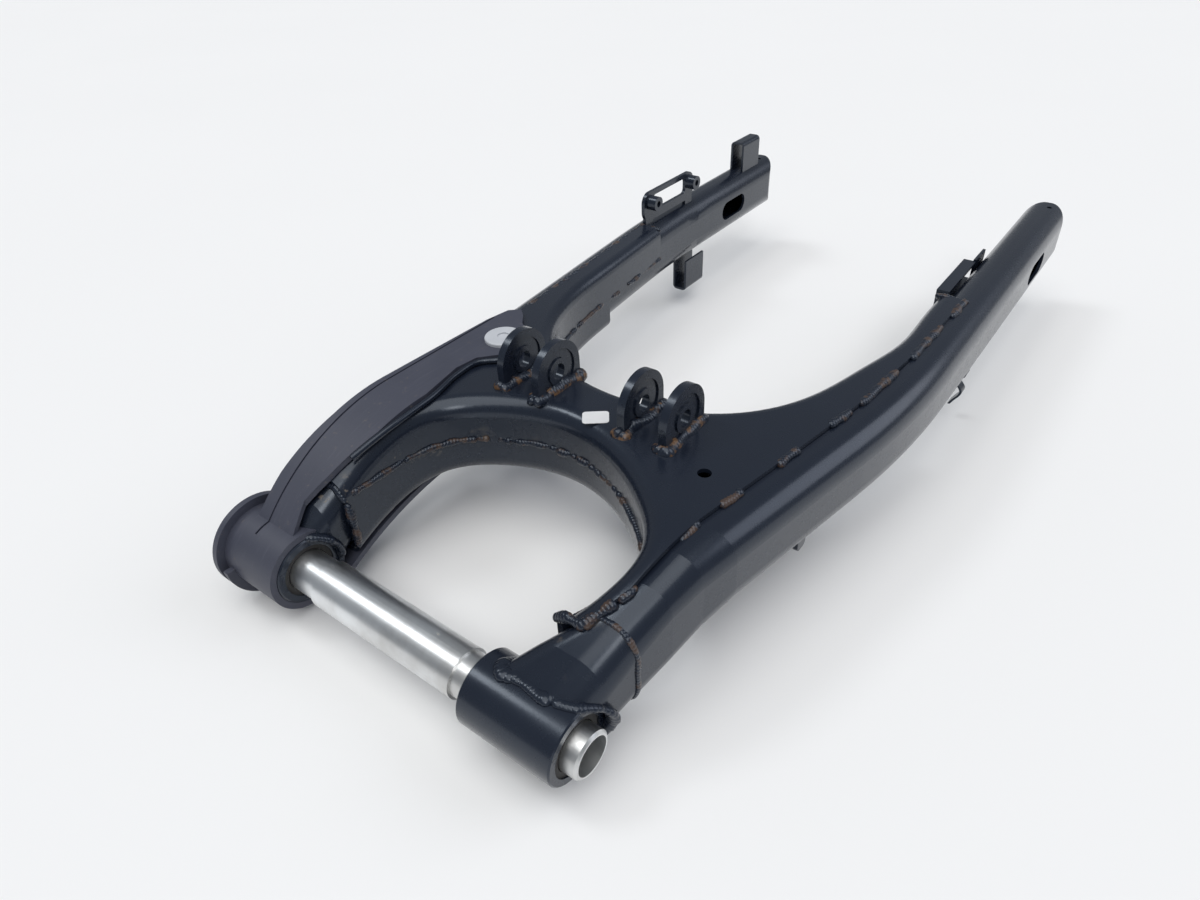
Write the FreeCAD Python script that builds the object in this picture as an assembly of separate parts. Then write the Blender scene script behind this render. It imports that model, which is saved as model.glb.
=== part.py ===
import FreeCAD, Part

import math
import os

from FreeCAD import Vector

os.makedirs("parts", exist_ok=True)

# A welded steel rear swingarm, lying with its linkage ears upwards.
# X runs along the pivot line, Y points back to the wheel spindle, Z is up.
# The origin is halfway along the pivot sleeves. All sizes are in millimetres.

# Pivot line
pivot_span = 256.0
housing_radius = 20.5
housing_bore = 16.0
sleeve_radius = 12.5
sleeve_bore = 10.2
spacer_radius = 14.0
sleeve_chamfer = 1.2

# How far each housing's ends lie in from the sleeves' outer ends, and the spacer tube between the housings
housings = {
    "left": {"start": 3.0 - pivot_span / 2, "end": 52.0 - pivot_span / 2},
    "right": {"start": pivot_span / 2 - 66.0, "end": pivot_span / 2 - 8.5},
}
spacer_left_gap = 20.0
spacer_right_gap = 12.0
spacer_left = housings["left"]["end"] + spacer_left_gap
spacer_right = housings["right"]["start"] - spacer_right_gap
neck_rise = 0.5
neck_lift = 4.0
neck_corner = 17.0
neck_end = 36.0
# Left and right faces of each neck and arm, at rising distances back from the pivot line
neck_inset = {"left": (3.0, 1.5), "right": (2.0, 1.5)}
neck_faces = {
    "left": [(18.0, -117.0, -73.2), (neck_end, -111.0, -71.8), (57.0, -106.0, -71.4),
             (78.0, -104.5, -71.2)],
    "right": [(18.0, 80.5, 124.0), (neck_end, 96.5, 128.5), (57.0, 106.0, 133.0),
              (78.0, 107.4, 137.0)],
}
reach = 400.0

# Needle bearings and seals in each housing
seal_width = 4.0
seal_lip_clearance = 0.4
seal_recess = 1.0
bearing_width = 17.0
cup_wall = 1.4
running_clearance = 0.04
needle_count = 14

# Wheel plane and arm tubes
wheel_plane = 17.5
arm_wall = 2.5
arm_width = 34.0
arm_corner = 15.0
arm_underside = 13.0
arm_top = 61.0
arm_joint = 100.0
joint_step = 0.2
arm_end = 622.0
arms = {
    "right": {"rear_middle": 155.5, "toe": 0.186, "bend_back": 265.0, "bend_radius": 600.0},
    "left": {"rear_middle": -121.0, "toe": -0.10, "bend_back": 430.0, "bend_radius": 1200.0},
}

# Wheel spindle slots
spindle_back = 535.0
spindle_height = 37.0
slot_length = 43.0
slot_width = 17.0

# Crossmember pressings. The walls are given from above, at the opening and at the wheel.
sheet = 2.5
seam_height = 36.0
pressing_low = -40.0
pressing_high = 90.0
pressing_reach = 110.0
seam_front = 2.0
seam_back = 27.0
opening_wall = [(86.0, 30.0), (100.0, 50.0), (103.5, 72.0), (84.0, 100.0), (56.0, 120.0), (15.0, 132.5),
                (-33.0, 121.0), (-60.0, 97.0), (-67.5, 68.0), (-68.5, 30.0)]
rear_wall = [(-77.0, 240.0), (-56.0, 203.0), (-20.0, 178.0), (20.0, 171.0), (61.0, 178.0), (90.0, 196.0),
             (113.0, 229.0), (127.0, 278.0)]
opening_bend = 11.0
rear_bend = 8.0
flange_clearance = 0.25
wing_tip_upper = 396.0
wing_tip_lower = 310.0
top_bend_back = 100.0
top_bend_radius = 140.0
under_bend_back = 120.0
under_bend_radius = 208.0
lap_edge = {
    "left": [(-86.0, 30.0), (-90.0, 100.0), (-101.0, 230.0), (-111.0, 340.0), (-117.5, wing_tip_upper)],
    "right": [(103.0, 30.0), (114.0, 50.0), (120.5, 102.0), (134.5, 178.0), (144.0, 235.0), (150.0, 300.0),
              (154.0, wing_tip_upper)],
}
run_on = 6.0
drain_x = 104.0
drain_y = 132.0
drain_radius = 3.8

# Linkage ears
ear_thickness = 5.0
ear_gap = 22.2
ear_pair_offset = 44.4
ear_radius = 19.6
ear_hole = 5.2
ear_back = 155.0
ear_hole_height = 11.2
ear_ring_inner = 8.6
ear_ring_outer = 14.5
ear_ring_depth = 1.0
ear_ring_foot = 2.5

# Chain slider, its outline as seen from above
slider_wall = 4.0
slider_clearance = 0.3
slider_barrel_left = housings["left"]["start"] + 4.0
slider_barrel_right = housings["left"]["end"] - 1.0
slider_outline = [
    (-78.0, -8.0), (-84.0, 14.0), (-78.0, 30.0), (-70.0, 62.0), (-69.5, 100.0), (-76.0, 132.0),
    (-74.0, 148.0), (-63.0, 160.0), (-60.0, 178.0), (-66.0, 191.0), (-80.0, 199.0), (-87.0, 208.0),
    (-94.0, 214.0), (-101.0, 208.0), (-104.0, 190.0), (-106.0, 130.0), (-108.0, 60.0), (-112.0, 20.0),
    (-112.0, -8.0),
]
slider_groove = 1.4
slider_groove_inset = 9.0
slider_groove_depth = 1.2
slider_leg_tip = 128.0
slider_leg_left = -108.0
slider_leg_right = -72.0
slider_flange_radius = 30.0
slider_flange_thickness = 4.0
slider_tab_low = -30.0
plug_radius = 12.5
plug_x = -76.0
plug_y = 176.0
plug_height = 2.4

# Chain guard bracket on the left arm
guard_x = -117.0
guard_front = 396.0
guard_length = 78.0
guard_base = 64.5
guard_top = 89.0
guard_plate = 3.0
guard_corner = 9.0
guard_slot_length = 52.0
guard_slot_height = 13.5
guard_foot = 11.0
guard_boss_radius = 6.0
guard_boss_hole = 2.6
guard_boss_length = 9.0
guard_boss_inset = 8.5
guard_boss_height = 80.5
guard_bosses = {
    "front": guard_front + guard_boss_inset,
    "rear": guard_front + guard_length - guard_boss_inset,
}

# Small brackets
bite = 3.0
channel_width = 14.0
channel_wall = 2.0
top_channel = {"x": -127.0, "back": arm_end - 56.0, "length": 32.0, "height": 27.0}
low_channel = {"x": -113.0, "back": arm_end - 181.0, "length": 30.0, "height": 26.0}
stop_front = 414.0
stop_length = 62.0
stop_height = 16.0
stop_depth = 9.0
stop_low = 42.0
stop_plate_length = 24.0
clip_back = 394.0
clip_width = 8.0
clip_thickness = 1.8
clip_route = [(163.0, 13.0), (166.0, 6.0), (162.5, 0.0), (166.5, -6.0), (164.0, -13.0), (160.5, -19.0)]
tab_front = 168.0
tab_length = 10.0
tab_thickness = 3.0
tab_drop = 13.0

bar = Part.LineSegment


def save(name, *solids):
    shape = solids[0] if len(solids) == 1 else Part.makeCompound(list(solids))
    shape.exportStep("parts/" + name + ".step")


def along_x(radius, start, end):
    return Part.makeCylinder(radius, end - start, Vector(start, 0, 0), Vector(1, 0, 0))


def ring(outer, inner, start, end):
    return along_x(outer, start, end).cut(along_x(inner, start, end))


def prism(points, direction):
    wire = Part.makePolygon(points + points[:1])
    return Part.Face(wire).extrude(direction)


def plain_solid(shape):
    return shape.Solids[0]


def biggest(shape):
    return max(shape.Solids, key=lambda solid: solid.Volume)


# Arms: bent oval tubes

def oval(y, middle, width, low, high, corner):
    # A rounded rectangle across the arm, seen along Y
    half = width / 2
    r = min(corner, half - 0.5, (high - low) / 2 - 0.5)
    s = r * (1 - math.sqrt(0.5))
    left, right = middle - half, middle + half

    def at(x, z):
        return Vector(x, y, z)

    edges = [
        bar(at(left + r, high), at(right - r, high)),
        Part.Arc(at(right - r, high), at(right - s, high - s), at(right, high - r)),
        bar(at(right, high - r), at(right, low + r)),
        Part.Arc(at(right, low + r), at(right - s, low + s), at(right - r, low)),
        bar(at(right - r, low), at(left + r, low)),
        Part.Arc(at(left + r, low), at(left + s, low + s), at(left, low + r)),
        bar(at(left, low + r), at(left, high - r)),
        Part.Arc(at(left, high - r), at(left + s, high - s), at(left + r, high)),
    ]
    return Part.Wire([edge.toShape() for edge in edges])


def front_middle(side, y):
    # The middle of the tube on its front straight, extended to any y
    spec = arms[side]
    return spec["rear_middle"] - spec["toe"] * (spec["bend_back"] - y)


def bend_run(spec):
    # Length of straight that the bend takes away on each side of its corner
    return spec["bend_radius"] * math.tan(math.atan(abs(spec["toe"])) / 2)


def arm_sweep(side, wall):
    spec = arms[side]
    run = bend_run(spec)
    angle = math.atan(spec["toe"])
    corner = Vector(spec["rear_middle"], spec["bend_back"], 0)
    before = corner - Vector(math.sin(angle), math.cos(angle), 0) * run
    after = corner + Vector(0, run, 0)
    front_end = arm_joint - arm_width / 2
    start = Vector(front_middle(side, front_end), front_end, 0)
    finish = Vector(spec["rear_middle"], arm_end, 0)
    sag = math.copysign(spec["bend_radius"] * (1 / math.cos(angle / 2) - 1), angle)
    crown = corner + Vector(-math.cos(angle / 2), math.sin(angle / 2), 0) * sag
    path = Part.Wire([bar(finish, after).toShape(), Part.Arc(after, crown, before).toShape(),
                      bar(before, start).toShape()])
    low, high = arm_underside + wall, arm_top - wall
    profile = oval(arm_end, finish.x, arm_width - 2 * wall, low, high, arm_corner - wall)
    return path.makePipeShell([profile], True, False)


def arm_nose(side, wall):
    # The closed end is round in plan, as wide as the tube
    middle = arms[side]["rear_middle"]
    radius = arm_width / 2 - wall
    centre_back = arm_end - arm_width / 2
    round_end = Part.makeCylinder(radius + 0.2, 2 * arm_top, Vector(middle, centre_back, -arm_top / 2))
    front = Part.makeBox(reach, centre_back - arm_joint, 2 * arm_top,
                         Vector(middle - reach / 2, arm_joint, -arm_top / 2))
    return round_end.fuse(front)


def obround_x(length, width, y, z, x0, x1):
    # A slot with round ends, cut along X
    half = (length - width) / 2
    radius = width / 2
    front = Part.makeCylinder(radius, x1 - x0, Vector(x0, y - half, z), Vector(1, 0, 0))
    back = Part.makeCylinder(radius, x1 - x0, Vector(x0, y + half, z), Vector(1, 0, 0))
    block = Part.makeBox(x1 - x0, 2 * half, width, Vector(x0, y - half, z - radius))
    return front.fuse(back).fuse(block)


def top_line(y):
    # Height of the tube's top, which bends down towards the pivot
    run = max(0.0, top_bend_back - y)
    return arm_top - top_bend_radius + math.sqrt(top_bend_radius ** 2 - run ** 2)


def under_line(y):
    run = max(0.0, under_bend_back - y)
    return arm_underside - under_bend_radius + math.sqrt(under_bend_radius ** 2 - run ** 2)


def front_rows(side):
    # Sections from the pivot line back to where the tube runs straight
    joint = front_middle(side, arm_joint)
    half = arm_width / 2 / math.cos(math.atan(arms[side]["toe"]))
    rows = [(y, left, right, under_line(y) + neck_rise, top_line(y)) for y, left, right in neck_faces[side]]
    left_inset, right_inset = neck_inset[side]
    rows.insert(0, (0.0, housings[side]["start"] + left_inset, housings[side]["end"] - right_inset,
                    neck_lift - housing_radius, housing_radius))
    rows.append((arm_joint, joint - half, joint + half, arm_underside, arm_top))
    return rows


def front_loft(rows, wall, corner):
    wires = [oval(y, (x0 + x1) / 2, x1 - x0 - 2 * wall, low + wall, high - wall, corner - wall)
             for y, x0, x1, low, high in rows]
    return Part.makeLoft(wires, True, True)


def bent_front(side, wall):
    # The bent front end of the tube, a hair fuller than the straight it runs into
    rows = [row for row in front_rows(side) if row[0] >= neck_end]
    return front_loft(rows, wall - joint_step, arm_corner)


def arm_block(side):
    rear = arm_sweep(side, 0.0).common(arm_nose(side, 0.0))
    return biggest(rear.fuse(bent_front(side, 0.0)))


def arm(side):
    rear = arm_sweep(side, arm_wall).common(arm_nose(side, arm_wall))
    inner = rear.fuse(bent_front(side, arm_wall))
    middle = arms[side]["rear_middle"]
    slot = obround_x(slot_length, slot_width, spindle_back, spindle_height, middle - arm_width,
                     middle + arm_width)
    vent = Part.makeCylinder(2.0, 10, Vector(middle + 3, arm_end - 12, arm_top - 6))
    return biggest(arm_block(side).cut(inner).cut(slot).cut(vent))


arm_blocks = {side: arm_block(side) for side in arms}


# Necks: clamshells from the tube's front end down to the pivot housing

def neck_block(side, wall):
    rows = [row for row in front_rows(side) if row[0] <= neck_end]
    return front_loft(rows, wall, neck_corner)


def housing_clearing(side):
    # Room for the housing and the sleeves that run on past its ends
    spec = housings[side]
    return along_x(housing_radius, spec["start"] - sleeve_radius, spec["end"] + sleeve_radius)


def neck_halves(side):
    shell = neck_block(side, 0.0).cut(neck_block(side, sheet)).cut(housing_clearing(side))
    points = [(-neck_end, seam_front), (neck_end + 1, seam_back), (neck_end + 1, reach), (-neck_end, reach)]
    above = prism([Vector(-reach, y, z) for y, z in points], Vector(2 * reach, 0, 0))
    return biggest(shell.common(above)), biggest(shell.cut(above))


# Crossmember: two dished pressings that meet at the seam

def flange_face(side, y):
    # The face of the wing's flange, one sheet inside the arm's inner wall
    spec = arms[side]
    inwards = -1 if side == "right" else 1
    run = bend_run(spec)
    if y > spec["bend_back"] + run:
        middle = spec["rear_middle"]
    elif y < spec["bend_back"] - run:
        middle = front_middle(side, y)
    else:
        past = spec["bend_back"] + run - y
        middle = spec["rear_middle"] - math.copysign(past ** 2 / (2 * spec["bend_radius"]), spec["toe"])
    return middle + inwards * (arm_width / 2 + flange_clearance + sheet)


def wall_curve(points, height, inset):
    # A smooth wall through the points. An inset curve lies inside the metal and runs on past both ends.
    spline = Part.BSplineCurve()
    spline.interpolate([Vector(x, y, height) for x, y in points])
    if inset == 0:
        return spline.toShape()
    shifted = []
    tangents = []
    for x, y in points:
        tangent = spline.tangent(spline.parameter(Vector(x, y, height)))[0]
        tangents.append(tangent)
        shifted.append(Vector(x + inset * tangent.y, y - inset * tangent.x, height))
    shifted.insert(0, shifted[0] - tangents[0] * run_on)
    shifted.append(shifted[-1] + tangents[-1] * run_on)
    inner = Part.BSplineCurve()
    inner.interpolate(shifted)
    return inner.toShape()


def rear_points():
    tip = wing_tip_upper
    followed = (tip, tip - 40, tip - 75)
    left = [(flange_face("left", y), y) for y in followed]
    right = [(flange_face("right", y), y) for y in followed]
    return left + rear_wall + right[::-1]


def plan_wire(height, inset):
    opening = wall_curve(opening_wall, height, inset)
    rear = wall_curve(rear_points(), height, inset)
    edges = [opening, rear]
    ends = {"right": (opening.valueAt(opening.FirstParameter), rear.valueAt(rear.LastParameter)),
            "left": (opening.valueAt(opening.LastParameter), rear.valueAt(rear.FirstParameter))}
    for side, (front, back) in ends.items():
        if inset == 0:
            corners = [Vector(x, y, height) for x, y in lap_edge[side]]
        else:
            far = reach if side == "right" else -reach
            corners = [Vector(far, front.y, height), Vector(far, back.y, height)]
        corners = [front] + corners + [back]
        for a, b in zip(corners, corners[1:]):
            edges.append(bar(a, b).toShape())
    return Part.Wire(Part.__sortEdges__(edges))


def side_block(upper, inset):
    # What lies under the upper pressing's top, or over the lower pressing's underside, seen from the side
    front, back, x0 = opening_wall[0][1] - 2 * run_on, wing_tip_upper + reach, -1.2 * reach
    line, bend, offset = (top_line, top_bend_back, sheet - inset)
    far = pressing_low
    if not upper:
        line, bend, offset = under_line, under_bend_back, inset - sheet
        far = pressing_reach
    middle = (front + bend) / 2

    def at(y, z):
        return Vector(x0, y, z)

    edges = [
        Part.Arc(at(front, line(front) + offset), at(middle, line(middle) + offset),
                 at(bend, line(bend) + offset)),
        bar(at(bend, line(bend) + offset), at(back, line(back) + offset)),
        bar(at(back, line(back) + offset), at(back, far)),
        bar(at(back, far), at(front, far)),
        bar(at(front, far), at(front, line(front) + offset)),
    ]
    wire = Part.Wire([edge.toShape() for edge in edges])
    return Part.Face(wire).extrude(Vector(-2 * x0, 0, 0))


def pressed_block(upper, inset):
    low, high = (seam_height, pressing_high) if upper else (pressing_low, seam_height)
    if inset > 0 and upper:
        low -= 1
    if inset > 0 and not upper:
        high += 1
    block = Part.Face(plan_wire(low, inset)).extrude(Vector(0, 0, high - low))
    block = plain_solid(block.common(side_block(upper, inset)))
    bends = {opening_bend: [], rear_bend: []}
    for edge in block.Edges:
        curved = edge.Curve.TypeId == "Part::GeomBSplineCurve"
        off_seam = abs(edge.CenterOfMass.z - seam_height) > 5
        ends = [vertex.Point for vertex in edge.Vertexes]
        travels = math.hypot(ends[0].x - ends[-1].x, ends[0].y - ends[-1].y) > 5
        if curved and off_seam and travels:
            bends[opening_bend if edge.CenterOfMass.y < ear_back else rear_bend].append(edge)
    for radius, edges in bends.items():
        block = block.makeFillet(radius - inset, edges)
    return block


def pressing(upper):
    shell = pressed_block(upper, 0.0).cut(pressed_block(upper, sheet))
    for side in arms:
        shell = shell.cut(neck_block(side, 0.0)).cut(arm_blocks[side])
    if not upper:
        shell = shell.common(Part.makeBox(2 * reach, wing_tip_lower, reach, Vector(-reach, 0, -reach / 2)))
    return biggest(shell)


# Ears

def ear(face_x):
    # A plate with a round top, its foot flat on the crossmember, with a pressed ring round the hole
    foot = arm_top + sheet
    centre = Vector(face_x, ear_back, foot + ear_hole_height)
    front = ear_back - ear_radius

    def round_bar(radius, length, start_x):
        return Part.makeCylinder(radius, length, Vector(start_x, ear_back, centre.z), Vector(1, 0, 0))

    block = Part.makeBox(ear_thickness, 2 * ear_radius, ear_hole_height, Vector(face_x, front, foot))
    above = Part.makeBox(ear_thickness, 2 * ear_radius, 3 * ear_radius, Vector(face_x, front, foot))
    body = round_bar(ear_radius, ear_thickness, face_x).fuse(block).common(above)
    body = body.cut(round_bar(ear_hole, ear_thickness, face_x))
    ring_x = face_x + ear_thickness - ear_ring_depth
    groove = round_bar(ear_ring_outer, ear_ring_depth, ring_x)
    groove = groove.cut(round_bar(ear_ring_inner, ear_ring_depth, ring_x))
    groove = groove.common(above.translated(Vector(0, 0, ear_ring_foot)))
    return plain_solid(body.cut(groove).removeSplitter())


# Chain slider

def strap_side(gap, thickness, line, bend, front, back, upwards):
    # A strip that follows the top or the underside, seen from the side
    x0 = -reach / 2
    sign = 1 if upwards else -1

    def at(y, extra):
        return Vector(x0, y, line(y) + sign * (sheet + gap + extra))

    middle = (front + bend) / 2
    edges = [
        Part.Arc(at(front, 0), at(middle, 0), at(bend, 0)),
        bar(at(bend, 0), at(back, 0)),
        bar(at(back, 0), at(back, thickness)),
        bar(at(back, thickness), at(bend, thickness)),
        Part.Arc(at(bend, thickness), at(middle, thickness), at(front, thickness)),
        bar(at(front, thickness), at(front, 0)),
    ]
    return Part.Face(Part.Wire([edge.toShape() for edge in edges])).extrude(Vector(reach, 0, 0))


def chain_slider():
    bore = housing_radius + slider_clearance
    outer = bore + slider_wall
    barrel = ring(outer, bore, slider_barrel_left, slider_barrel_right)
    points = [Vector(x, y, -reach / 2) for x, y in slider_outline]
    outline = prism(points, Vector(0, 0, reach))
    back = max(y for x, y in slider_outline) + 1
    strap = strap_side(slider_clearance, slider_wall, top_line, top_bend_back, -6.0, back, True)
    strap = strap.common(outline)
    groove_left = min(x for x, y in slider_outline) + slider_groove_inset
    floor = slider_clearance + slider_wall - slider_groove_depth
    groove = strap_side(floor, 10.0, top_line, top_bend_back, -20.0, back - 20, True)
    groove = groove.common(Part.makeBox(slider_groove, reach, reach, Vector(groove_left, -20, -reach / 2)))
    leg = strap_side(slider_clearance, slider_wall, under_line, under_bend_back, 4.0, slider_leg_tip, False)
    leg_width = slider_leg_right - slider_leg_left
    leg_box = Part.makeBox(leg_width, reach, reach, Vector(slider_leg_left, 0, -reach / 2))
    flange_right = slider_barrel_left
    flange_left = flange_right - slider_flange_thickness
    flange = ring(slider_flange_radius, bore, flange_left, flange_right)
    flat = Part.makeBox(slider_flange_thickness, 80, 40, Vector(flange_left, -40, slider_tab_low + 12 - 40))
    tab_x = slider_barrel_left + slider_flange_thickness
    tab = ring(-slider_tab_low, bore, tab_x, tab_x + slider_flange_thickness)
    tab = tab.common(Part.makeBox(20, 40, 30, Vector(tab_x - 5, -34, slider_tab_low)))
    body = barrel.fuse([strap, leg.common(leg_box), flange.cut(flat), tab]).cut(groove)
    hole = Part.makeCylinder(3.0, 30, Vector(plug_x, plug_y, arm_top))
    body = body.cut(neck_block("left", -slider_clearance)).cut(bent_front("left", -slider_clearance))
    body = body.cut(hole)
    body = body.cut(along_x(bore, slider_outline[-1][0], slider_outline[0][0]))
    return biggest(body)


def slider_plug():
    # A wide flat-headed plastic plug that holds the slider down, with its stem in the slider's hole
    head_z = arm_top + sheet + slider_clearance + slider_wall
    head = Part.makeCylinder(plug_radius, plug_height, Vector(plug_x, plug_y, head_z))
    rim = [edge for edge in head.Edges if abs(edge.CenterOfMass.z - head_z - plug_height) < 0.01]
    head = head.makeFillet(1.0, rim)
    stem = Part.makeCylinder(2.8, slider_wall + 0.2, Vector(plug_x, plug_y, head_z - slider_wall - 0.2))
    dimple = Part.makeCylinder(4.0, 1.0, Vector(plug_x, plug_y, head_z + plug_height - 1.0))
    return head.fuse(stem).cut(dimple)


# Chain guard bracket and the small brackets. Each foot is cut to sit on the arm's rounded face.

def seated(shape, side):
    return biggest(shape.cut(arm_blocks[side]))


def rounded_plate(x, front, low, length, height, corner, thickness):
    # A plate standing along Y, its four corners round
    body = Part.makeBox(thickness, length, height, Vector(x, front, low))
    corners = [edge for edge in body.Edges if abs(edge.BoundBox.XLength - thickness) < 0.01
               and edge.BoundBox.YLength < 0.01 and edge.BoundBox.ZLength < 0.01]
    return body.makeFillet(corner, corners)


def guard_bracket():
    height = guard_top - guard_base
    frame = rounded_plate(guard_x, guard_front, guard_base, guard_length, height, guard_corner, guard_plate)
    slot_low = guard_top - 4.0 - guard_slot_height
    slot_front = guard_front + (guard_length - guard_slot_length) / 2
    slot = rounded_plate(guard_x - 1, slot_front, slot_low, guard_slot_length, guard_slot_height, 4.0,
                         guard_plate + 2)
    body = frame.cut(slot)
    for y in guard_bosses.values():
        body = body.cut(Part.makeCylinder(guard_boss_hole, guard_plate, Vector(guard_x, y, guard_boss_height),
                                          Vector(1, 0, 0)))
    for foot_front in (guard_front + 2, guard_front + guard_length - guard_foot - 2):
        foot = Part.makeBox(guard_plate, guard_foot, 16, Vector(guard_x, foot_front, arm_top - bite))
        body = body.fuse(foot)
    return seated(body, "left")


def guard_boss(y):
    foot = Vector(guard_x + guard_plate, y, guard_boss_height)
    body = Part.makeCylinder(guard_boss_radius, guard_boss_length, foot, Vector(1, 0, 0))
    return body.cut(Part.makeCylinder(guard_boss_hole, guard_boss_length, foot, Vector(1, 0, 0)))


def channel(spec, upwards):
    # A folded channel standing on the left arm or hanging under it, open towards the pivot
    height = spec["height"] + bite
    low = arm_top - bite if upwards else arm_underside + bite - height
    box = Part.makeBox(channel_width, spec["length"], height, Vector(spec["x"], spec["back"], low))
    folds = [edge for edge in box.Edges if edge.BoundBox.YLength > spec["length"] - 1
             and abs(edge.CenterOfMass.z - (low + height if upwards else low)) < 0.01]
    box = box.makeFillet(4.0, folds)
    inner_low = low - 1 if upwards else low + channel_wall
    inner_width = channel_width - 2 * channel_wall
    inner = Part.makeBox(inner_width, spec["length"] + 2, height + 1 - channel_wall,
                         Vector(spec["x"] + channel_wall, spec["back"] - 1, inner_low))
    return seated(box.cut(inner), "left")


def stop_channel():
    # A short folded channel on the right arm's inner wall, and the thin plate behind it
    wall = arms["right"]["rear_middle"] - arm_width / 2
    box = Part.makeBox(stop_depth, stop_length, stop_height, Vector(wall - stop_depth, stop_front, stop_low))
    inner = Part.makeBox(stop_depth, stop_length + 2, stop_height - 2 * channel_wall,
                         Vector(wall - stop_depth + channel_wall, stop_front - 1, stop_low + channel_wall))
    plate = Part.makeBox(channel_wall, stop_plate_length, stop_height + 2,
                         Vector(wall - channel_wall, stop_front + stop_length, stop_low - 1))
    return plain_solid(box.cut(inner)), plate


def hose_clip():
    # A wavy strip of sheet under the right arm that holds the brake hose
    half = clip_thickness / 2
    left = Part.BSplineCurve()
    left.interpolate([Vector(x - half, clip_back, z) for x, z in clip_route])
    right = Part.BSplineCurve()
    right.interpolate([Vector(x + half, clip_back, z) for x, z in clip_route])
    (x0, z0), (x1, z1) = clip_route[0], clip_route[-1]
    edges = [left.toShape(), right.toShape(),
             bar(Vector(x0 - half, clip_back, z0), Vector(x0 + half, clip_back, z0)).toShape(),
             bar(Vector(x1 - half, clip_back, z1), Vector(x1 + half, clip_back, z1)).toShape()]
    return Part.Face(Part.Wire(Part.__sortEdges__(edges))).extrude(Vector(0, clip_width, 0))


def hose_tab():
    wall = front_middle("right", tab_front) + 5
    height = tab_drop + bite
    body = Part.makeBox(tab_thickness, tab_length, height, Vector(wall, tab_front, arm_underside - tab_drop))
    corners = [edge for edge in body.Edges if edge.BoundBox.XLength > tab_thickness - 0.1
               and edge.CenterOfMass.z < arm_underside - tab_drop + 0.1 and edge.BoundBox.YLength < 0.1]
    return seated(body.makeFillet(3.0, corners), "right")


# Pivot internals

def pivot_inner():
    half = pivot_span / 2
    left = ring(sleeve_radius, sleeve_bore, -half, spacer_left)
    right = ring(sleeve_radius, sleeve_bore, spacer_right, half)
    spacer = ring(spacer_radius, sleeve_bore, spacer_left, spacer_right)
    return left, spacer, right


def end_chamfer(sleeve, x_end):
    around = 2 * math.pi * sleeve_radius
    rims = [edge for edge in sleeve.Edges if abs(edge.Length - around) < 0.5]
    return sleeve.makeChamfer(sleeve_chamfer, [rim for rim in rims if abs(rim.CenterOfMass.x - x_end) < 0.01])


def bearing(start):
    cup = ring(housing_bore, housing_bore - cup_wall, start, start + bearing_width)
    track = housing_bore - cup_wall
    needle_radius = (track - sleeve_radius) / 2 - running_clearance
    pitch = (track + sleeve_radius) / 2
    needles = []
    for i in range(needle_count):
        angle = 2 * math.pi * i / needle_count
        foot = Vector(start + 1.0, pitch * math.cos(angle), pitch * math.sin(angle))
        needles.append(Part.makeCylinder(needle_radius, bearing_width - 2.0, foot, Vector(1, 0, 0)))
    return cup, needles


def seal(start):
    return ring(housing_bore, sleeve_radius + seal_lip_clearance, start, start + seal_width)


def housing(start, end):
    body = ring(housing_radius, housing_bore, start, end)
    edges = [edge for edge in body.Edges if abs(edge.Length - 2 * math.pi * housing_radius) < 0.5]
    return body.makeChamfer(0.8, edges)


for side, spec in housings.items():
    start, end = spec["start"], spec["end"]
    save("pivot_housing_" + side, housing(start, end))
    for place, face in (("left_end", start), ("right_end", end)):
        inwards = 1 if face == start else -1
        name = side + "_" + place
        seal_edge = face + inwards * seal_recess
        cup_edge = seal_edge + inwards * seal_width
        save("seal_" + name, seal(min(seal_edge, cup_edge)))
        cup, needles = bearing(min(cup_edge, cup_edge + inwards * bearing_width))
        save("bearing_cup_" + name, cup)
        save("needles_" + name, *needles)

left_sleeve, spacer, right_sleeve = pivot_inner()
save("sleeve_left", end_chamfer(left_sleeve, -pivot_span / 2))
save("sleeve_right", end_chamfer(right_sleeve, pivot_span / 2))
save("spacer_tube", spacer)

for side in arms:
    save("arm_" + side, arm(side))
    neck_upper, neck_lower = neck_halves(side)
    save("neck_" + side + "_upper", neck_upper)
    save("neck_" + side + "_lower", neck_lower)

drain = Part.makeCylinder(drain_radius, 20, Vector(drain_x, drain_y, arm_top - 10))
save("crossmember_upper", pressing(True).cut(drain).Solids[0])
save("crossmember_lower", pressing(False))

for side, pair_middle in (("left", wheel_plane - ear_pair_offset), ("right", wheel_plane + ear_pair_offset)):
    low_face = pair_middle - ear_gap / 2 - ear_thickness
    high_face = pair_middle + ear_gap / 2
    save("ear_" + side + ("_outer" if side == "left" else "_inner"), ear(low_face))
    save("ear_" + side + ("_inner" if side == "left" else "_outer"), ear(high_face))

save("chain_slider", chain_slider())
save("slider_plug", slider_plug())
save("chain_guard_bracket", guard_bracket())
for end, y in guard_bosses.items():
    save("guard_boss_" + end, guard_boss(y))
save("top_channel_bracket", channel(top_channel, True))
save("low_channel_bracket", channel(low_channel, False))
stop, stop_plate = stop_channel()
save("stop_channel", stop)
save("stop_plate", stop_plate)
save("hose_clip", hose_clip())
save("hose_tab", hose_tab())
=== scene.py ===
import bpy
import math
from mathutils import Matrix, Vector, noise


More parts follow.
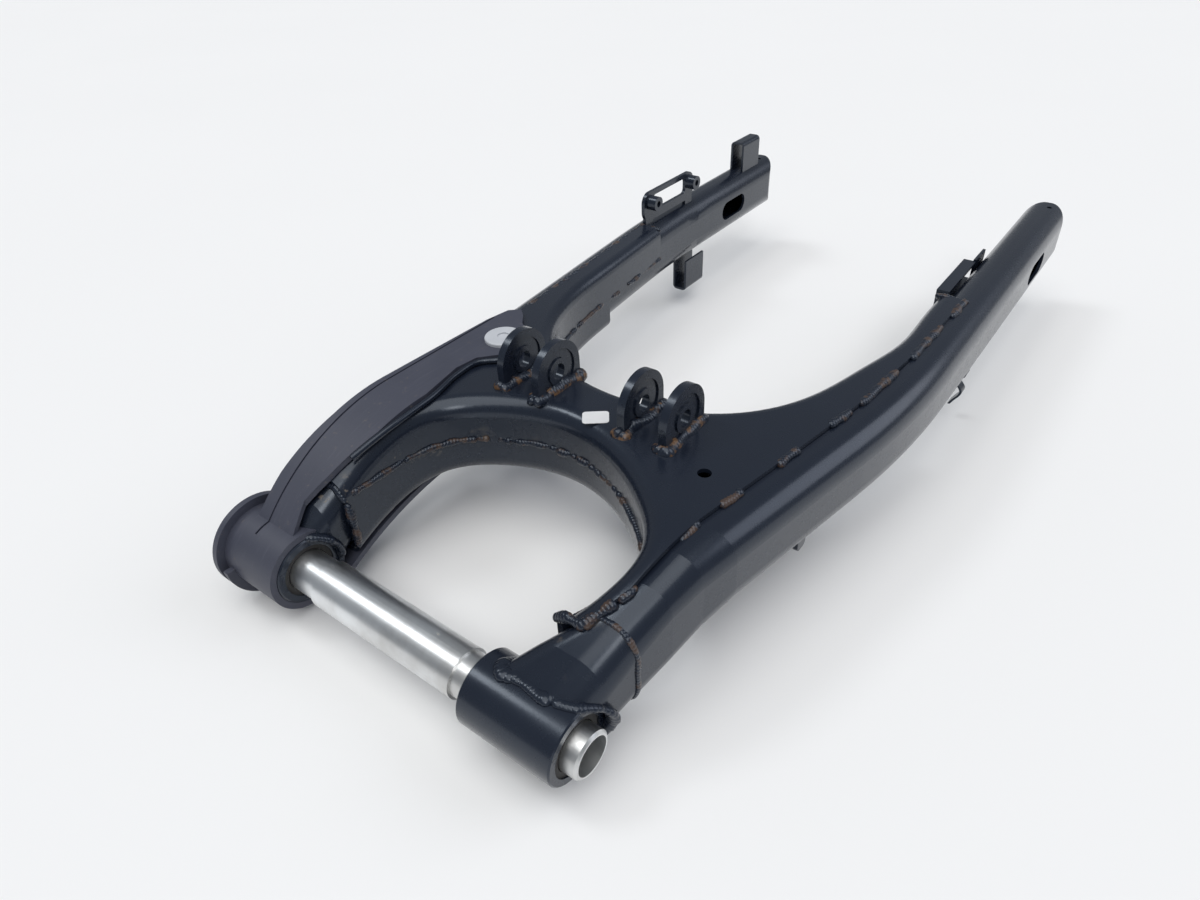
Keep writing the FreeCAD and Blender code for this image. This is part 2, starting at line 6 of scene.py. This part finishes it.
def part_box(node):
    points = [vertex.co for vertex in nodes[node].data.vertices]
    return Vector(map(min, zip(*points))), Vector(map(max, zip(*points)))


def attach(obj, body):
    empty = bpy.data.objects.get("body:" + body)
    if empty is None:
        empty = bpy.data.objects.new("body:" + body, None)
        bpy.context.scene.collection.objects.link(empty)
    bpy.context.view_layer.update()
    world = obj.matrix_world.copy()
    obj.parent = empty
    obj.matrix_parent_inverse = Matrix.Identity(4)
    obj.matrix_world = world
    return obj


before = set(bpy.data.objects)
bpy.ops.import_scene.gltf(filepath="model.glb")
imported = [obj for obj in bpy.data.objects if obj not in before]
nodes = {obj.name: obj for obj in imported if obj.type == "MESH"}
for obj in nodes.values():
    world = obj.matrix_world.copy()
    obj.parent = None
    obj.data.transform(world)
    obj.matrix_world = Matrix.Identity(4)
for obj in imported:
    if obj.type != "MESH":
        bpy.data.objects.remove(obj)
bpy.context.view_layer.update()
mm = 0.001
print("frame loaded:", len(nodes), "nodes")


# where the photograph was taken from, in metres and degrees, in the swingarm's own frame
view = {"place": (0.2646, -0.1530, 0.3244), "yaw": 38.77, "pitch": 36.9, "roll": -3.09, "lens": 24.09,
        "sensor": 36, "nearest": 0.01}


def addCamera():
    yaw, pitch, roll = (math.radians(view[key]) for key in ("yaw", "pitch", "roll"))
    ahead = Vector((-math.sin(yaw) * math.cos(pitch), math.cos(yaw) * math.cos(pitch), -math.sin(pitch)))
    across = ahead.cross(Vector((0, 0, 1))).normalized()
    upward = across.cross(ahead)
    right = across * math.cos(roll) + upward * math.sin(roll)
    top = upward * math.cos(roll) - across * math.sin(roll)
    data = bpy.data.cameras.new("photoCamera")
    data.lens = view["lens"]
    data.sensor_width = view["sensor"]
    data.clip_start = view["nearest"]
    camera = bpy.data.objects.new("photoCamera", data)
    turn = Matrix((right, top, -ahead)).transposed().to_4x4()
    camera.matrix_world = Matrix.Translation(Vector(view["place"])) @ turn
    bpy.context.scene.collection.objects.link(camera)
    bpy.context.scene.camera = camera


addCamera()


# shader values that add, take away and multiply like numbers
class Val:
    def __init__(self, paint, socket):
        self.paint = paint
        self.socket = socket

    def maths(self, operation, *others):
        return self.paint.add("ShaderNodeMath", {"operation": operation}, self, *others)

    def __add__(self, other):
        return self.maths("ADD", other)

    def __radd__(self, other):
        return self.maths("ADD", other)

    def __sub__(self, other):
        return self.maths("SUBTRACT", other)

    def __rsub__(self, other):
        return self.paint.add("ShaderNodeMath", {"operation": "SUBTRACT"}, other, self)

    def __mul__(self, other):
        return self.maths("MULTIPLY", other)

    def __rmul__(self, other):
        return self.maths("MULTIPLY", other)

    def low(self, other):
        return self.maths("MINIMUM", other)

    def high(self, other):
        return self.maths("MAXIMUM", other)

    def size(self):
        return self.maths("ABSOLUTE")


class Paint:
    # one material and the nodes in it
    def __init__(self, name):
        self.material = bpy.data.materials.new(name)
        self.material.use_nodes = True
        self.tree = self.material.node_tree
        self.shader = self.tree.nodes["Principled BSDF"]
        self.where = self.add("ShaderNodeTexCoord", out="Object")

    def add(self, kind, settings=None, *values, out=None, **named):
        # any node: its settings come first, then its sockets, in their order or by name
        node = self.tree.nodes.new(kind)
        for key, value in (settings or {}).items():
            setattr(node, key, value)
        usable = [slot for slot in node.inputs if slot.enabled]
        for slot, value in zip(usable, values):
            self.fill(slot, value)
        for key, value in named.items():
            self.fill(next(slot for slot in usable if slot.name == key), value)
        outputs = [slot for slot in node.outputs if slot.enabled]
        socket = outputs[0] if out is None else next(slot for slot in outputs if slot.name == out)
        return Val(self, socket)

    def fill(self, slot, value):
        if isinstance(value, Val):
            self.tree.links.new(value.socket, slot)
        else:
            slot.default_value = (*value, 1) if slot.type == "RGBA" else value

    def noise(self, scale, detail=3.0, roughness=0.55, stretch=None):
        spot = self.where
        if stretch:
            spot = self.add("ShaderNodeMapping", Vector=self.where, Scale=stretch)
        return self.add("ShaderNodeTexNoise", Vector=spot, Scale=scale, Detail=detail, Roughness=roughness)

    def step(self, value, low, high):
        # 0 below low, 1 above high, smooth between them
        return self.add("ShaderNodeMapRange", {"interpolation_type": "SMOOTHSTEP"}, value, low, high)

    def axis(self, letter):
        return self.add("ShaderNodeSeparateXYZ", {}, self.where, out=letter)

    def mix(self, amount, first, second):
        return self.add("ShaderNodeMix", {"data_type": "RGBA"}, amount, first, second)

    def bump(self, height, strength, distance):
        normal = self.add("ShaderNodeBump", Strength=strength, Distance=distance, Height=height)
        self.fill(self.shader.inputs["Normal"], normal)

    def set(self, **named):
        for key, value in named.items():
            self.fill(self.shader.inputs[key.replace("_", " ")], value)


# gloss black frame paint: navy in the light from a painted sky-blue reflection tint, thin dust round the seam at
# the pivot end, burnt brown on welds
blackPaint = {
    # tint: a blue tint on every reflection of the paint, a painted sky reflection
    "deep": (0.006, 0.008, 0.015), "lit": (0.012, 0.017, 0.029), "tint": (0.72, 0.84, 1.0),
    "dust": (0.34, 0.28, 0.21), "burnt": (0.16, 0.085, 0.035),
    "patchScale": 8.0, "fineScale": 75.0, "scorchScale": 120.0, "peelScale": 230.0, "waveScale": 30.0,
    "seamHeight": 0.037, "offSeam": (0.002, 0.012),  # metres: the dust thins out between each pair
    "offPivot": (0.03, 0.15), "offLeft": (-0.05, 0.05),
    "speckled": (0.56, 0.66), "scorched": (0.50, 0.62), "thickest": 0.75,
    "roughness": 0.22, "coat": 0.4, "coatRoughness": 0.17, "coatIor": 1.42, "specular": 0.42,
    "bump": 0.10, "bumpDepth": 0.0005,
}


def makeBlackPaint(name, dusty, burnt=0.0):
    paint = Paint(name)
    look = blackPaint
    patch = paint.noise(look["patchScale"], 4.0)
    fine = paint.noise(look["fineScale"], 5.0, 0.65)
    seam = 1 - paint.step((paint.axis("Z") - look["seamHeight"]).size(), *look["offSeam"])
    near = 1 - paint.step(paint.axis("Y"), *look["offPivot"])
    leftEnd = 1 - paint.step(paint.axis("X"), *look["offLeft"])
    speck = paint.step(fine * 0.7 + patch * 0.3, *look["speckled"])
    dust = (speck * seam * near * (0.25 + leftEnd * 0.75) * dusty).low(look["thickest"])
    scorch = paint.step(paint.noise(look["scorchScale"], 4.0, 0.6), *look["scorched"]) * burnt
    colour = paint.mix(patch, look["deep"], look["lit"])
    colour = paint.mix(scorch, colour, look["burnt"])
    # the specular tint paints a sky-blue reflection into the paint's glints
    paint.set(Base_Color=paint.mix(dust, colour, look["dust"]),
              Roughness=look["roughness"] + fine * 0.10 + dust * 0.4 + scorch * 0.15,
              Coat_Weight=look["coat"] - dust.high(scorch * 0.6) * look["coat"],
              Coat_Roughness=look["coatRoughness"], Coat_IOR=look["coatIor"],
              Specular_IOR_Level=look["specular"], Specular_Tint=look["tint"])
    peel = paint.noise(look["peelScale"], 2.0) * 0.5 + paint.noise(look["waveScale"], 2.0)
    paint.bump(peel, look["bump"], look["bumpDepth"])
    return paint.material


# bright plated steel of the sleeves and spacer, drawn along the pivot line
steelLook = {
    "bright": (0.84, 0.86, 0.87), "dull": (0.60, 0.60, 0.59), "stain": (0.30, 0.24, 0.18),
    "grainScale": 900.0, "drawn": (0.05, 1.0, 1.0), "cloudScale": 26.0, "spotScale": 160.0,
    "clouded": (0.35, 0.72), "spotted": (0.66, 0.74), "bump": 0.10, "bumpDepth": 0.0002,
}


def makeSteel(name, roughness):
    paint = Paint(name)
    look = steelLook
    grain = paint.noise(look["grainScale"], 2.0, 0.6, stretch=look["drawn"])
    cloud = paint.noise(look["cloudScale"], 4.0, 0.6)
    spots = paint.step(paint.noise(look["spotScale"], 4.0, 0.7), *look["spotted"])
    colour = paint.mix(paint.step(cloud, *look["clouded"]), look["bright"], look["dull"])
    paint.set(Base_Color=paint.mix(spots * 0.6, colour, look["stain"]), Metallic=1.0 - spots * 0.5,
              Roughness=roughness + grain * 0.12 + cloud * 0.10 + spots * 0.3)
    paint.bump(grain, look["bump"], look["bumpDepth"])
    return paint.material


# grey-purple slider plastic with chain scuffs along it
sliderLook = {
    "base": (0.036, 0.040, 0.060), "pale": (0.072, 0.076, 0.104), "dirt": (0.26, 0.22, 0.17),
    "cloudScale": 14.0, "scuffScale": 60.0, "scuffRun": (6.0, 0.35, 1.0), "gritScale": 210.0,
    "scuffed": (0.52, 0.72), "gritty": (0.62, 0.74), "dirtiest": 0.22, "roughness": 0.42,
    "pebbleScale": 480.0, "bump": 0.25, "bumpDepth": 0.0003,
}


def makeSliderPlastic(name):
    paint = Paint(name)
    look = sliderLook
    cloud = paint.noise(look["cloudScale"], 5.0, 0.6)
    scuff = paint.step(paint.noise(look["scuffScale"], 4.0, 0.7, stretch=look["scuffRun"]), *look["scuffed"])
    grit = paint.step(paint.noise(look["gritScale"], 3.0, 0.7), *look["gritty"])
    colour = paint.mix(cloud * 0.7 + scuff * 0.3, look["base"], look["pale"])
    paint.set(Base_Color=paint.mix(grit * look["dirtiest"], colour, look["dirt"]),
              Roughness=look["roughness"] + cloud * 0.2 + grit * 0.2)
    paint.bump(paint.noise(look["pebbleScale"], 3.0) * 0.6 + scuff * 0.4, look["bump"], look["bumpDepth"])
    return paint.material


# rubber, pale plastic and paper: one shade clouding into another, with a grain twelve times as fine
plainLook = {"clouding": 0.15, "finer": 12, "bump": 0.2, "bumpDepth": 0.0002}


def makePlain(name, first, second, roughness, cloudScale):
    paint = Paint(name)
    look = plainLook
    cloud = paint.noise(cloudScale, 4.0, 0.6)
    paint.set(Base_Color=paint.mix(cloud, first, second), Roughness=roughness + cloud * look["clouding"])
    paint.bump(paint.noise(cloudScale * look["finer"], 3.0), look["bump"], look["bumpDepth"])
    return paint.material


# what each node is painted with, by how its name starts; every other node has the dusty black
frontPaint = makeBlackPaint("black paint, dusty", 1.0)
cleanPaint = makeBlackPaint("black paint, clean", 0.1)
weldPaint = makeBlackPaint("black paint over welds", 0.8, 0.35)
earWeldPaint = makeBlackPaint("burnt paint over welds", 0.3, 0.85)
finishes = {
    "sleeve": makeSteel("plated steel", 0.24),
    "spacer": makeSteel("plated steel, spacer", 0.22),
    "bearing_cup": makeSteel("ground bearing steel", 0.2),
    "needles": makeSteel("polished rollers", 0.1),
    "seal": makePlain("seal rubber", (0.012, 0.012, 0.013), (0.03, 0.028, 0.026), 0.55, 60.0),
    "chain_slider": makeSliderPlastic("slider plastic"),
    "slider_plug": makePlain("pale plug plastic", (0.42, 0.44, 0.48), (0.58, 0.60, 0.63), 0.35, 40.0),
    "arm_": cleanPaint,
}

for name, item in nodes.items():
    chosen = next((paint for start, paint in finishes.items() if name.startswith(start)), frontPaint)
    item.data.materials.clear()
    item.data.materials.append(chosen)
print("finishes on the nodes")


# weld beads: overlapping ripples laid along each joint, with their pitch in millimetres. The scales are of noise
# over a metre, and the shares of a bead's width or height
bead = {"pitch": 2.0, "overlap": 1.05, "wander": 0.45, "wanderScale": 160, "gapScale": 45,
        "drift": 0.25, "driftScale": 90, "driftFrom": (5, 5, 5), "segments": 12, "rings": 6}


def oneRipple():
    bpy.ops.object.select_all(action="DESELECT")
    bpy.ops.mesh.primitive_uv_sphere_add(segments=bead["segments"], ring_count=bead["rings"], radius=0.5)
    ripple = bpy.context.object
    bpy.ops.object.shade_smooth()
    return ripple


def along(points, pitch):
    # even places and directions along a run of points
    places = []
    carried = 0.0
    for first, second in zip(points, points[1:]):
        run = (second - first).length
        while carried < run:
            places.append((first + (second - first) * (carried / run), (second - first).normalized()))
            carried += pitch
        carried -= run
    return places


def layBeads(name, runs, width, height, paint, gaps=0.0):
    # each run is its points in millimetres and the way out of the joint, a vector or a rule for each place
    source = oneRipple()
    made = []
    for points, outward in runs:
        for place, direction in along([Vector(point) * mm for point in points], bead["pitch"] * mm):
            if noise.noise(place * bead["gapScale"]) < gaps - 1:
                continue
            wobble = noise.noise(place * bead["wanderScale"]) * bead["wander"]
            sway = noise.noise(place * bead["driftScale"] + Vector(bead["driftFrom"]))
            out = Vector(outward(place) if callable(outward) else outward).normalized()
            side = direction.cross(out).normalized()
            lift = side.cross(direction).normalized()
            turn = Matrix((direction, side, lift)).transposed().to_4x4()
            drift = side * (sway * width * bead["drift"] * mm)
            stretch = Matrix.Diagonal((width * bead["overlap"] * mm, width * mm * (1 + wobble),
                                       height * mm * (1 + wobble), 1))
            mesh = source.data.copy()
            mesh.transform(Matrix.Translation(place + drift) @ turn @ stretch)
            piece = bpy.data.objects.new(name, mesh)
            bpy.context.scene.collection.objects.link(piece)
            made.append(piece)
    bpy.data.objects.remove(source)
    bpy.ops.object.select_all(action="DESELECT")
    for piece in made:
        piece.select_set(True)
    bpy.context.view_layer.objects.active = made[0]
    bpy.ops.object.join()
    made[0].name = name
    made[0].data.materials.clear()
    made[0].data.materials.append(paint)
    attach(made[0], "swingarm")
    print(name, len(made), "ripples")


def rim(names, keep, centre, axes, sign, bins):
    # the nodes' own corner points round a centre: the farthest in each direction, or for sign -1 the nearest
    best = {}
    for name in names:
        item = nodes[name]
        for vertex in item.data.vertices:
            spot = (item.matrix_world @ vertex.co) / mm
            if not keep(spot):
                continue
            first, second = spot[axes[0]] - centre[0], spot[axes[1]] - centre[1]
            slot = int(math.atan2(second, first) / math.tau % 1 * bins)
            reach = math.hypot(first, second) * sign
            if slot not in best or reach > best[slot][0]:
                best[slot] = (reach, spot)
    return [best[slot][1] for slot in sorted(best)]


# each ear stands in a heavy bead round its foot
earWeld = {"width": 8.5, "height": 6.5, "short": 0.5}


def earRuns():
    runs = []
    for name in nodes:
        if not name.startswith("ear_"):
            continue
        low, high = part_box(name)
        x0, y0, z0 = (value / mm for value in low)
        x1, y1 = high[0] / mm, high[1] / mm
        y0, y1 = y0 + earWeld["short"], y1 - earWeld["short"]
        runs.append(([(x0, y0, z0), (x0, y1, z0)], (-1, 0, 1)))
        runs.append(([(x1, y0, z0), (x1, y1, z0)], (1, 0, 1)))
        runs.append(([(x0, y0, z0), (x1, y0, z0)], (0, -1, 1)))
        runs.append(([(x0, y1, z0), (x1, y1, z0)], (0, 1, 1)))
    return runs


layBeads("earWelds", earRuns(), earWeld["width"], earWeld["height"], earWeldPaint)


# the seam where the two pressings meet, round the opening and round the wheel's arc. Its points lie between
# two places along Y, and go in the order in which "eye", a place in front or behind, sees them
seamWeld = {
    "level": 36.0, "near": 0.1, "bins": 120,
    "opening": {"middle": (17.0, 75.0), "between": (34.0, 145.0), "halfWidth": 90.0, "eye": 15.0,
                "width": 4.6, "height": 4.4, "gaps": 0.45},
    "wheel": {"middle": (20.0, 330.0), "between": (145.0, math.inf), "halfWidth": 126.0, "eye": 580.0,
              "width": 4.0, "height": 3.6, "gaps": 0.8},
}


def laySeam(name, part):
    (x, y), (low, high) = part["middle"], part["between"]

    def onSeam(spot):
        level = abs(spot.z - seamWeld["level"]) < seamWeld["near"]
        return level and low < spot.y < high and abs(spot.x - x) < part["halfWidth"]

    points = rim(["crossmember_upper"], onSeam, part["middle"], (0, 1), -1, seamWeld["bins"])
    points.sort(key=lambda spot: math.atan2(abs(spot.y - part["eye"]), spot.x - x))
    inwards = (lambda place: (x * mm - place.x, y * mm - place.y, 0.0))
    layBeads(name, [(points, inwards)], part["width"], part["height"], weldPaint, part["gaps"])


laySeam("openingWeld", seamWeld["opening"])
laySeam("wheelArcWeld", seamWeld["wheel"])


# where the upper pressing laps over the arm tubes: stitches along its edges, from one Y to another, and whole
# beads across the tips of its wings and of its tongues at the necks
lapWeld = {
    "width": 5.4, "height": 4.2, "proud": 0.8,
    "edges": {
        "right": [(103, 30, 42), (114, 50, 52), (120.5, 102, 61), (134.5, 178, 61), (144, 235, 61),
                  (150, 300, 61), (154, 396, 61)],
        "left": [(-101, 230, 61), (-111, 340, 61), (-117.5, 396, 61)],
    },
    "leans": {"right": (0.5, 0, 1), "left": (-0.5, 0, 1)},
    "stitches": {
        "right": [(31, 43), (47, 53), (88, 98), (118, 130), (163, 177), (210, 227), (240, 282), (305, 352),
                  (372, 396)],
        "left": [(232, 252), (262, 322), (334, 372), (380, 396)],
    },
    "tips": [[(-101, 397, 61.4), (-117, 397, 61.4)], [(136, 397, 61.0), (154, 397, 61.4)]],
    "tongues": [[(87, 29.5, 37), (94, 29.5, 41.5), (103, 29.5, 42.5)],
                [(-86, 29.5, 42), (-76, 29.5, 40), (-70, 29.5, 34)],
                [(-68, 29.5, 30), (-68, 29.5, 2)]],
}


def lapRuns():
    runs = []
    for side, edge in lapWeld["edges"].items():
        for start, end in lapWeld["stitches"][side]:
            points = []
            for (x0, y0, z0), (x1, y1, z1) in zip(edge, edge[1:]):
                low, high = max(start, y0), min(end, y1)
                if low < high:
                    for y in (low, high):
                        share = (y - y0) / (y1 - y0)
                        points.append((x0 + (x1 - x0) * share, y, z0 + (z1 - z0) * share + lapWeld["proud"]))
            runs.append((points, lapWeld["leans"][side]))
    for tip in lapWeld["tips"]:
        runs.append((tip, (0, 1, 1)))
    for tongue in lapWeld["tongues"]:
        runs.append((tongue, (0, -1, 1)))
    return runs


layBeads("lapWelds", lapRuns(), lapWeld["width"], lapWeld["height"], weldPaint)


# round each neck: the saddle on the pivot housing, and the joint where the arm tube takes over
saddleWeld = {"width": 8.0, "height": 4.6, "radius": 20.5, "near": 0.15,
              "middles": {"left": (-97.0, 2.0), "right": (92.0, 2.0)}}
tubeWeld = {"width": 3.8, "height": 2.4, "back": 36.0, "near": 0.1,
            "middles": {"left": (-91.4, 16.0), "right": (112.5, 16.0)}}
neckBins = 60


def onSaddle(spot):
    return abs(math.hypot(spot.y, spot.z) - saddleWeld["radius"]) < saddleWeld["near"] and spot.y > 0


def onJoint(spot):
    return abs(spot.y - tubeWeld["back"]) < tubeWeld["near"]


def neckRuns():
    saddles, joints = [], []
    for side in ("left", "right"):
        names = ["neck_" + side + "_upper", "neck_" + side + "_lower"]
        loop = rim(names, onSaddle, saddleWeld["middles"][side], (0, 2), 1, neckBins)
        saddles.append((loop + loop[:1], lambda place: (0.0, place.y, place.z)))
        middle = tubeWeld["middles"][side]
        ring = rim(names, onJoint, middle, (0, 2), 1, neckBins)
        aim = Vector((middle[0], tubeWeld["back"], middle[1])) * mm
        joints.append((ring + ring[:1], lambda place, aim=aim: place - aim))
    return saddles, joints


saddleRuns, jointRuns = neckRuns()
layBeads("saddleWelds", saddleRuns, saddleWeld["width"], saddleWeld["height"], cleanPaint)
layBeads("tubeWelds", jointRuns, tubeWeld["width"], tubeWeld["height"], weldPaint)


# the blank paper label beside the ears, in millimetres and degrees
label = {"place": (26.4, 141.2, 63.65), "size": (15.4, 11.8, 0.3), "turn": 37.0, "round": 2.2, "steps": 5}


def addLabel():
    bpy.ops.object.select_all(action="DESELECT")
    bpy.ops.mesh.primitive_cube_add(size=1)
    sheet = bpy.context.object
    sheet.name = "paperLabel"
    length, width, thick = (value * mm for value in label["size"])
    turn = Matrix.Rotation(math.radians(label["turn"]), 4, "Z")
    shape = turn @ Matrix.Diagonal((length, width, thick, 1))
    sheet.data.transform(Matrix.Translation(Vector(label["place"]) * mm) @ shape)
    weights = sheet.data.attributes.new("bevel_weight_edge", "FLOAT", "EDGE")
    for edge in sheet.data.edges:
        first, second = (sheet.data.vertices[index].co.z for index in edge.vertices)
        weights.data[edge.index].value = 1.0 if abs(first - second) > thick / 2 else 0.0
    rounding = sheet.modifiers.new("corners", "BEVEL")
    rounding.limit_method = "WEIGHT"
    rounding.width = label["round"] * mm
    rounding.segments = label["steps"]
    bpy.ops.object.modifier_apply(modifier="corners")
    sheet.data.materials.append(makePlain("label paper", (0.66, 0.67, 0.69), (0.80, 0.80, 0.80), 0.55, 90.0))
    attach(sheet, "swingarm")


addLabel()


# the glossy black lip that stands along the slider's inner edge
lip = {
    "points": [(-71, 42, 56), (-68, 62, 61.4), (-67, 84, 64.2), (-67.5, 104, 65.3), (-73, 130, 65.3),
               (-72, 147, 65.3), (-62, 158, 65.3), (-58, 172, 65.3)],
    "radius": 1.9, "steps": 10, "roundness": 5,
}


def addLip():
    bpy.ops.object.select_all(action="DESELECT")
    curve = bpy.data.curves.new("sliderLip", "CURVE")
    curve.dimensions = "3D"
    curve.resolution_u = lip["steps"]
    curve.bevel_depth = lip["radius"] * mm
    curve.bevel_resolution = lip["roundness"]
    curve.use_fill_caps = True
    spline = curve.splines.new("BEZIER")
    spline.bezier_points.add(len(lip["points"]) - 1)
    for knot, point in zip(spline.bezier_points, lip["points"]):
        knot.co = Vector(point) * mm
        knot.handle_left_type = knot.handle_right_type = "AUTO"
    piece = bpy.data.objects.new("sliderLip", curve)
    bpy.context.scene.collection.objects.link(piece)
    piece.select_set(True)
    bpy.context.view_layer.objects.active = piece
    bpy.ops.object.convert(target="MESH")
    bpy.ops.object.shade_smooth()
    piece = bpy.context.object
    piece.data.materials.clear()
    piece.data.materials.append(frontPaint)
    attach(piece, "swingarm")


addLip()
print("label and lip laid")


# the plain pale floor, in metres
floorLook = {"shade": 0.84, "clouding": 0.02, "cloudScale": 2.0, "size": 40.0, "back": 0.3, "under": 0.0005,
             "roughness": 0.9, "specular": 0.1}


def addFloor():
    bpy.ops.object.select_all(action="DESELECT")
    low = min(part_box(name)[0][2] for name in nodes)
    place = (0, floorLook["back"], low - floorLook["under"])
    bpy.ops.mesh.primitive_plane_add(size=floorLook["size"], location=place)
    floor = bpy.context.object
    floor.name = "floor"
    paint = Paint("pale floor")
    cloud = paint.noise(floorLook["cloudScale"], 2.0)
    shade = floorLook["shade"]
    paler = shade + floorLook["clouding"]
    paint.set(Base_Color=paint.mix(cloud, (shade, shade, shade), (paler, paler, paler)),
              Roughness=floorLook["roughness"], Specular_IOR_Level=floorLook["specular"])
    floor.data.materials.append(paint.material)


# the world lights the part with "tint" at "strength", and the camera sees "backdrop" in its place
sky = {"tint": (0.86, 0.92, 1.0, 1), "strength": 0.27, "backdrop": (0.90, 0.90, 0.90, 1)}

# one wide soft sun overhead, two small ones whose glints run along the edges, and one from behind
suns = {
    "softSun": {"from": (0.12, -0.22, 0.97), "strength": 1.70, "spread": 62, "tint": (1.0, 0.985, 0.96)},
    "cameraSun": {"from": (0.50, -0.55, 0.68), "strength": 0.42, "spread": 17, "tint": (1.0, 1.0, 1.0)},
    "leftSun": {"from": (-0.55, -0.20, 0.82), "strength": 0.46, "spread": 16, "tint": (0.95, 0.98, 1.0)},
    "rearSun": {"from": (0.56, 0.60, 0.55), "strength": 0.60, "spread": 38, "tint": (0.90, 0.92, 1.0)},
}


def addSky():
    world = bpy.data.worlds.new("sky")
    bpy.context.scene.world = world
    world.use_nodes = True
    tree = world.node_tree
    back = tree.nodes["Background"]
    back.inputs["Color"].default_value = sky["tint"]
    back.inputs["Strength"].default_value = sky["strength"]
    plain = tree.nodes.new("ShaderNodeBackground")
    plain.inputs["Color"].default_value = sky["backdrop"]
    path = tree.nodes.new("ShaderNodeLightPath")
    choose = tree.nodes.new("ShaderNodeMixShader")
    tree.links.new(path.outputs["Is Camera Ray"], choose.inputs[0])
    tree.links.new(back.outputs[0], choose.inputs[1])
    tree.links.new(plain.outputs[0], choose.inputs[2])
    tree.links.new(choose.outputs[0], tree.nodes["World Output"].inputs[0])


def addSuns():
    for name, sun in suns.items():
        data = bpy.data.lights.new(name, "SUN")
        data.energy = sun["strength"]
        data.angle = math.radians(sun["spread"])
        data.color = sun["tint"]
        item = bpy.data.objects.new(name, data)
        item.rotation_euler = Vector(sun["from"]).to_track_quat("Z", "Y").to_euler()
        bpy.context.scene.collection.objects.link(item)


addFloor()
addSky()
addSuns()
bpy.context.scene.view_settings.view_transform = "Standard"
print("floor and lights laid")

print("scene finished")
